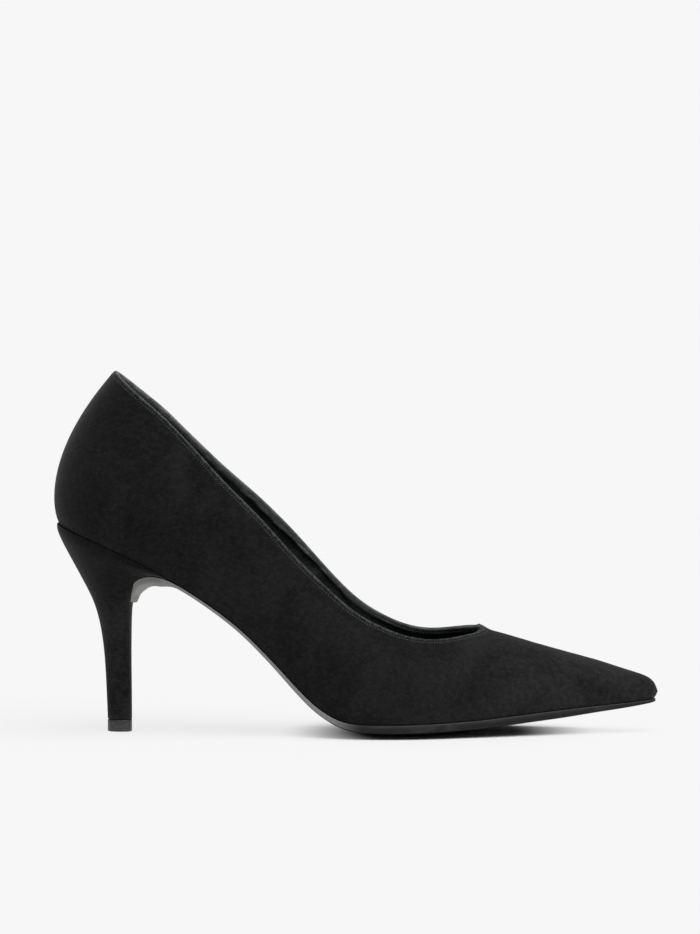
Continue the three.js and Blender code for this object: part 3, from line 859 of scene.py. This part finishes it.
@dataclass
class Upper:
    """The suede upper with its folded topline, back seam, lining and stitches."""

    node: bpy.types.Object
    levels: int = 2
    hardness: float = 0.32
    stitch_drop: float = 2.0 * MM
    facing_drop: float = 1.9 * MM
    lining_gap: float = 0.28 * MM
    lining_top: float = 1.0 * MM
    facing_depth: float = 3.0 * MM
    facing_step: float = 0.35 * MM
    creases: tuple[Crease, ...] = (
        Crease((-0.049, 0.0965), (-0.038, 0.0890), 0.0011, 0.0007),
        Crease((-0.044, 0.0915), (-0.033, 0.0840), 0.0014, 0.0007),
        Crease((-0.040, 0.0900), (-0.028, 0.0770), 0.0012, 0.0006),
        Crease((-0.034, 0.0830), (-0.022, 0.0735), 0.0014, 0.0007),
        Crease((-0.030, 0.0805), (-0.018, 0.0670), 0.0012, 0.0006),
        Crease((-0.024, 0.0735), (-0.013, 0.0640), 0.0014, 0.0007),
        Crease((-0.019, 0.0700), (-0.008, 0.0570), 0.0011, 0.0006),
        Crease((-0.012, 0.0610), (-0.003, 0.0540), 0.0012, 0.0007),
    )
    overlap_at: Pair = (-0.0109, 0.0622)
    overlap_across: Pair = (0.86, 0.51)
    overlap_step: float = 0.4 * MM
    topline: Topline = field(init=False)

    def build(self) -> list[Piece]:
        """Builds the shell, the lining and both rows of stitches.

        Returns:
            The pieces.
        """
        coarse = quads_of(self.node, self.hardness)
        self.topline = Topline.found_on(coarse)
        lining_base = coarse.copy()
        shell = subdivided("suede_upper", coarse, self.levels)
        self._dress_shell(shell)
        lining = self._lining(lining_base)
        thread = thread_material(Thread("thread"))
        dull = thread_material(Thread("lining_thread", colour=(0.03, 0.031, 0.032)))
        rim = self.topline
        outer = rim.outer - self.stitch_drop * rim.up
        inner = rim.inner - self.facing_drop * rim.up_inner
        seen = self._row("topline_stitches", shell, outer, thread, 7)
        hidden = self._row("facing_stitches", lining, inner, dull, 11)
        return [Piece(shell, "suede", ("upper",)), Piece(lining, "sock_lining"),
                Piece(seen, "suede"), Piece(hidden, "sock_lining")]

    def _dress_shell(self, shell: bpy.types.Object) -> None:
        """Rounds the throat, keeps the distance from the topline and gives the shell its suede."""
        self.topline.round_throat(shell, 9 * MM)
        points = rows_of(shell.data, "co")
        near = [self.topline.distances(points, side) for side in Side]
        keep_number(shell.data, TOPLINE, np.minimum(*near))
        keep_number(shell.data, INNER, near[1])
        seam_y = float(self.topline.outer[np.argmin(self.topline.outer[:, 0]), 1])
        finish = Suede("suede", painted_light_and_shade=True, fold=True, seam=True)
        coat(shell, suede_material(finish, seam_y, float(points[:, 0].min()) + 0.03))

    def _lining(self, bm: bmesh.types.BMesh) -> bpy.types.Object:
        """Builds the lining just inside the wall, with its facing band, seam and creases.

        Args:
            bm: The upper's coarse mesh, which is freed.

        Returns:
            The lining.
        """
        obj = subdivided("lining", bm, 3)
        points, normals = rows_of(obj.data, "co"), rows_of(obj.data, "normal")
        inside = (across_axis(points, points) * normals).sum(axis=1) < 0
        far = self.topline.distances(points, Side.INNER)
        raised = self.facing_step * (1.0 - smoothstep(far, self.facing_depth - 0.5 * MM, self.facing_depth))
        ahead = (points[:, [0, 2]] - np.array(self.overlap_at)) @ np.array(self.overlap_across)
        step = self.overlap_step * smoothstep(ahead, -0.3 * MM, 0.3 * MM)
        overlap = step * (1.0 - smoothstep(ahead, 0.5 * MM, 9 * MM))
        lift = self.lining_gap + raised + overlap + self._crease_heights(points)
        fade = smoothstep(far, self.lining_top, self.lining_top + 0.6 * MM)
        moved = points + normals * (lift * fade - 0.15 * MM * (1 - fade))[:, None]
        set_points(obj.data, moved)
        keep_number(obj.data, TOPLINE, far)
        cut = bmesh.new()
        cut.from_mesh(obj.data)
        cut.verts.ensure_lookup_table()
        keep = inside & (far > self.lining_top - 0.4 * MM) & (normals[:, 2] < 0.93)
        gone = [v for v in cut.verts if not keep[v.index]]
        bmesh.ops.delete(cut, geom=gone, context="VERTS")
        self._drop_islands(cut)
        cut.to_mesh(obj.data)
        cut.free()
        obj.data.polygons.foreach_set("use_smooth", [True] * len(obj.data.polygons))
        # The lining's colours are kept dark, partly the leather's own tone and partly painted shade for the
        # inside of the shoe.
        coat(obj, leather_material(Leather("lining_leather", (0.018, 0.021, 0.0215), (0.036, 0.041, 0.042),
                                           roughness=0.66, banded=True)))
        return obj

    @staticmethod
    def _drop_islands(bm: bmesh.types.BMesh) -> None:
        """Leaves only the largest connected part of a mesh."""
        left = set(bm.verts)
        islands = []
        while left:
            stack = [left.pop()]
            island = list(stack)
            while stack:
                for edge in stack.pop().link_edges:
                    for other in edge.verts:
                        if other in left:
                            left.discard(other)
                            island.append(other)
                            stack.append(other)
            islands.append(island)
        islands.sort(key=len)
        for island in islands[:-1]:
            bmesh.ops.delete(bm, geom=island, context="VERTS")

    def _crease_heights(self, points: np.ndarray) -> np.ndarray:
        """How far the listed creases stand out of the lining's inner-side wall.

        Args:
            points: The lining's points, as rows.

        Returns:
            One height for each point.
        """
        heights = np.zeros(len(points))
        flat = points[:, [0, 2]]
        for crease in self.creases:
            start, end = np.array(crease.start), np.array(crease.end)
            line = end - start
            share = np.clip(((flat - start) @ line) / (line @ line), 0.0, 1.0)
            off = np.linalg.norm(flat - (start + share[:, None] * line), axis=1)
            taper = np.sin(np.pi * np.clip(share, 0.06, 0.94))
            heights += crease.height * taper * np.exp(-(off / crease.width) ** 2)
        return heights * (points[:, 1] > 0)

    def _row(self, name: str, base: bpy.types.Object, path: np.ndarray,
             thread: bpy.types.Material, seed: int) -> bpy.types.Object:
        """A row of stitches laid on a piece along a path near it.

        Args:
            name: The row's name.
            base: The piece the stitches lie on.
            path: Points near the surface, as rows.
            thread: The material.
            seed: Seed of the small differences between stitches.

        Returns:
            The stitches.
        """
        surface = surface_of(base.data)
        hits = [surface.find_nearest(Vector(point)) for point in path]
        points = np.array([hit[0][:] for hit in hits])
        normals = np.array([hit[1][:] for hit in hits])
        for _ in range(12):
            normals = normals + np.roll(normals, 1, axis=0) + np.roll(normals, -1, axis=0)
            normals /= np.linalg.norm(normals, axis=1)[:, None]
        points = points + normals * 0.03 * MM
        return StitchRow(seed=seed).along(name, points, normals, thread)


@dataclass
class Heel:
    """The covered heel and its top piece."""

    heel_node: bpy.types.Object
    top_node: bpy.types.Object
    hardness: float = 0.72
    easing: float = 0.35 * MM

    def build(self) -> list[Piece]:
        """Builds the covered heel and the small hard plate under it."""
        heel = subdivided("covered_heel", quads_of(self.heel_node, self.hardness), 2)
        # The heel's suede is a paler copy of the upper's, painted lighter as light falling on the stem; its top
        # gets painted shade.
        finish = Suede("heel_suede", dark=(0.003, 0.003, 0.0031), pale=(0.031, 0.031, 0.0312),
                       shaded=True, specks=0.6)
        coat(heel, suede_material(finish))
        plate = self._plate()
        return [Piece(heel, "heel_suede", ("heel",)), Piece(plate, "top_piece", ("top_piece",))]

    def _plate(self) -> bpy.types.Object:
        """Builds the top piece, with its edges eased."""
        bm = bmesh.new()
        bm.from_mesh(self.top_node.data)
        bmesh.ops.remove_doubles(bm, verts=bm.verts, dist=WELD)
        bmesh.ops.dissolve_limit(bm, angle_limit=math.radians(2), verts=bm.verts, edges=bm.edges)
        rims = [e for e in bm.edges if len(e.link_faces) == 2 and e.calc_face_angle() > math.radians(60)]
        bmesh.ops.bevel(bm, geom=rims, offset=self.easing, segments=4, profile=0.5, affect="EDGES",
                        clamp_overlap=True)
        mesh = bpy.data.meshes.new("top_plate")
        bm.to_mesh(mesh)
        bm.free()
        obj = new_object("top_plate", mesh, plastic_material(Plastic("top_plastic")))
        mesh.set_sharp_from_angle(angle=math.radians(40))
        return obj


@dataclass
class Sole:
    """The outsole with its flap down the front of the heel."""

    node: bpy.types.Object
    heel_node: bpy.types.Object
    waist_start: float = -0.012
    waist_end: float = 0.004
    flap_top: float = 0.0625
    flap_end: float = 0.054
    flap_taper: float = 0.32
    swell: float = 1.9 * MM
    hardness: float = 0.42

    def build(self) -> list[Piece]:
        """Builds the outsole with its edge and its waist marked for the finish."""
        sole = subdivided("outsole_satin", quads_of(self.node, self.hardness), 2)
        points, normals = rows_of(sole.data, "co"), rows_of(sole.data, "normal")
        set_points(sole.data, self._flap(points, normals))
        side = np.maximum(np.abs(normals[:, 1]), np.where(points[:, 0] > 0.1, normals[:, 0], 0.0))
        keep_number(sole.data, EDGE, np.maximum(side, smoothstep(-points[:, 0], 0.066, 0.071)))
        keep_number(sole.data, HEIGHT, self._height_on_edge(points, side))
        keep_number(sole.data, WAIST, 1.0 - smoothstep(points[:, 0], self.waist_start, self.waist_end))
        coat(sole, sole_material(SoleFinish("sole")))
        return [Piece(sole, "sole", ("outsole",))]

    @staticmethod
    def _height_on_edge(points: np.ndarray, side: np.ndarray) -> np.ndarray:
        """How high each point lies on the sole's edge, from 0 at its bottom to 1 at its top.

        Args:
            points: The outsole's points, as rows.
            side: How far each faces sideways.

        Returns:
            One share for each point.
        """
        rim = points[side > 0.35]
        places = np.linspace(rim[:, 0].min(), rim[:, 0].max(), 60)
        reach = places[1] - places[0]
        near = [rim[np.abs(rim[:, 0] - place) <= reach][:, 2] for place in places]
        low = np.interp(points[:, 0], places, [z.min() for z in near])
        high = np.interp(points[:, 0], places, [z.max() for z in near])
        return np.clip((points[:, 2] - low) / np.maximum(high - low, 0.5 * MM), 0.0, 1.0)

    def _flap(self, points: np.ndarray, normals: np.ndarray) -> np.ndarray:
        """Narrows the flap down the front of the heel and thickens it where it leaves the waist.

        Args:
            points: The outsole's points, as rows.
            normals: Their normals.

        Returns:
            The moved points.
        """
        x, y, z = points.T
        behind = smoothstep(-x, 0.0705, 0.078) * (x > -0.095)
        low = smoothstep(self.flap_top - z, 0.0, self.flap_top - self.flap_end)
        narrow = y * (1.0 - self.flap_taper * low * behind)
        forward = self._roundness() * (y ** 2 - narrow ** 2)
        down = smoothstep(normals @ np.array([0.6, 0.0, -0.8]), 0.15, 0.5)
        thick = self.swell * behind * down * (0.35 + 0.65 * smoothstep(z, self.flap_end, self.flap_top - 3 * MM))
        return np.stack([x + forward, narrow, z], axis=1) + normals * thick[:, None]

    def _roundness(self) -> float:
        """How strongly the front of the heel curves back to its sides, by two rays onto its solid."""
        mesh = self.heel_node.data
        surface = surface_of(mesh)
        height = 0.5 * (self.flap_top + self.flap_end)
        middle = float(np.mean(rows_of(mesh, "co")[:, 1]))
        off = 5 * MM
        hits = [surface.ray_cast(Vector((0.0, middle + shift, height)), Vector((-1.0, 0.0, 0.0)))[0]
                for shift in (0.0, off)]
        return (hits[0].x - hits[1].x) / off ** 2


@dataclass
class Insole:
    """The insole under its sock lining."""

    node: bpy.types.Object
    hardness: float = 0.4

    def build(self) -> list[Piece]:
        """Builds the sock-covered insole."""
        sock = subdivided("insole_sock", quads_of(self.node, self.hardness), 2)
        coat(sock, leather_material(Leather("sock_leather", (0.014, 0.0145, 0.015), (0.024, 0.025, 0.026),
                                            roughness=0.55)))
        return [Piece(sock, "sock_lining", ("insole",))]


@dataclass
class Studio:
    """The pale floor, the soft light and the camera of the photograph."""

    eye: Triple = (0.067, -3.999, 0.37)
    aim: Triple = (-0.0023, 0.0, 0.1064)
    focal: float = 385.8
    floor_half: float = 22.0
    floor_tone: float = 0.93
    glow: float = 0.84
    footprint: tuple[float, float, float, float] = (0.034, 0.0, 0.055, 0.08)
    footprint_edge: Pair = (0.55, 1.2)
    world_light: float = 0.2
    key_light: float = 2.8
    key_turn: Triple = (0.25, 0.4, 0.0)

    def build(self) -> None:
        """Sets up the floor, the lights and the camera."""
        self._floor()
        self._lights()
        self._camera()

    def _floor(self) -> None:
        """Lays a plain pale floor that glows away from the tread, so that shadows stay faint there."""
        mesh = bpy.data.meshes.new("studio_floor")
        h = self.floor_half
        mesh.from_pydata([(-h, -h, 0), (h, -h, 0), (h, h, 0), (-h, h, 0)], [], [(0, 1, 2, 3)])
        n = Nodes("studio_floor")
        tone = (self.floor_tone,) * 3
        x, y, half_x, half_y = self.footprint
        place = n.tree.nodes.new("ShaderNodeMapping")
        place.inputs["Location"].default_value = (-x / half_x, -y / half_y, 0.0)
        place.inputs["Scale"].default_value = (1 / half_x, 1 / half_y, 0.0)
        n.link(n.coords, place.inputs["Vector"])
        reach = n.tree.nodes.new("ShaderNodeVectorMath")
        reach.operation = "LENGTH"
        n.link(place.outputs["Vector"], reach.inputs[0])
        open_floor = n.ramp(reach.outputs["Value"], *self.footprint_edge)
        n.link(n.mix(open_floor, tone, tuple(t * (1 - self.glow) for t in tone)), "Base Color")
        n.link(n.maths("MULTIPLY", open_floor, self.glow), "Emission Strength")
        n.set(Roughness=1.0, Specular_IOR_Level=0.0, Emission_Color=(*tone, 1.0))
        new_object("studio_floor", mesh, n.material)

    def _lights(self) -> None:
        """Lights the shoe by a white room and one very soft lamp overhead."""
        world = bpy.data.worlds.new("white_room")
        world.use_nodes = True
        world.node_tree.nodes["Background"].inputs["Color"].default_value = (1.0, 1.0, 1.0, 1.0)
        world.node_tree.nodes["Background"].inputs["Strength"].default_value = self.world_light
        bpy.context.scene.world = world
        lamp = bpy.data.lights.new("soft_key", "SUN")
        lamp.energy = self.key_light
        lamp.angle = math.radians(70)
        holder = bpy.data.objects.new("soft_key", lamp)
        holder.rotation_euler = self.key_turn
        bpy.context.scene.collection.objects.link(holder)

    def _camera(self) -> None:
        """Stands the camera where the photograph was taken from."""
        camera = bpy.data.cameras.new("photo_camera")
        camera.lens = self.focal
        camera.sensor_width = 36.0
        camera.clip_start = 0.1
        camera.clip_end = 100.0
        holder = bpy.data.objects.new("photo_camera", camera)
        holder.location = self.eye
        holder.rotation_euler = (Vector(self.aim) - Vector(self.eye)).to_track_quat("-Z", "Y").to_euler()
        bpy.context.scene.collection.objects.link(holder)
        bpy.context.scene.camera = holder
        bpy.context.scene.view_settings.view_transform = "Standard"


def main() -> None:
    """Builds the shoe piece by piece over its solids."""
    logging.basicConfig(level=logging.INFO, format="%(name)s %(message)s")
    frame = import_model()
    nodes = frame["nodes"]
    makers = (Upper(nodes["upper"]), Insole(nodes["insole"]), Sole(nodes["outsole"], nodes["heel"]),
              Heel(nodes["heel"], nodes["top_piece"]))
    for maker in makers:
        for piece in maker.build():
            piece.settle()
    Studio().build()


if __name__ == "__main__":
    main()
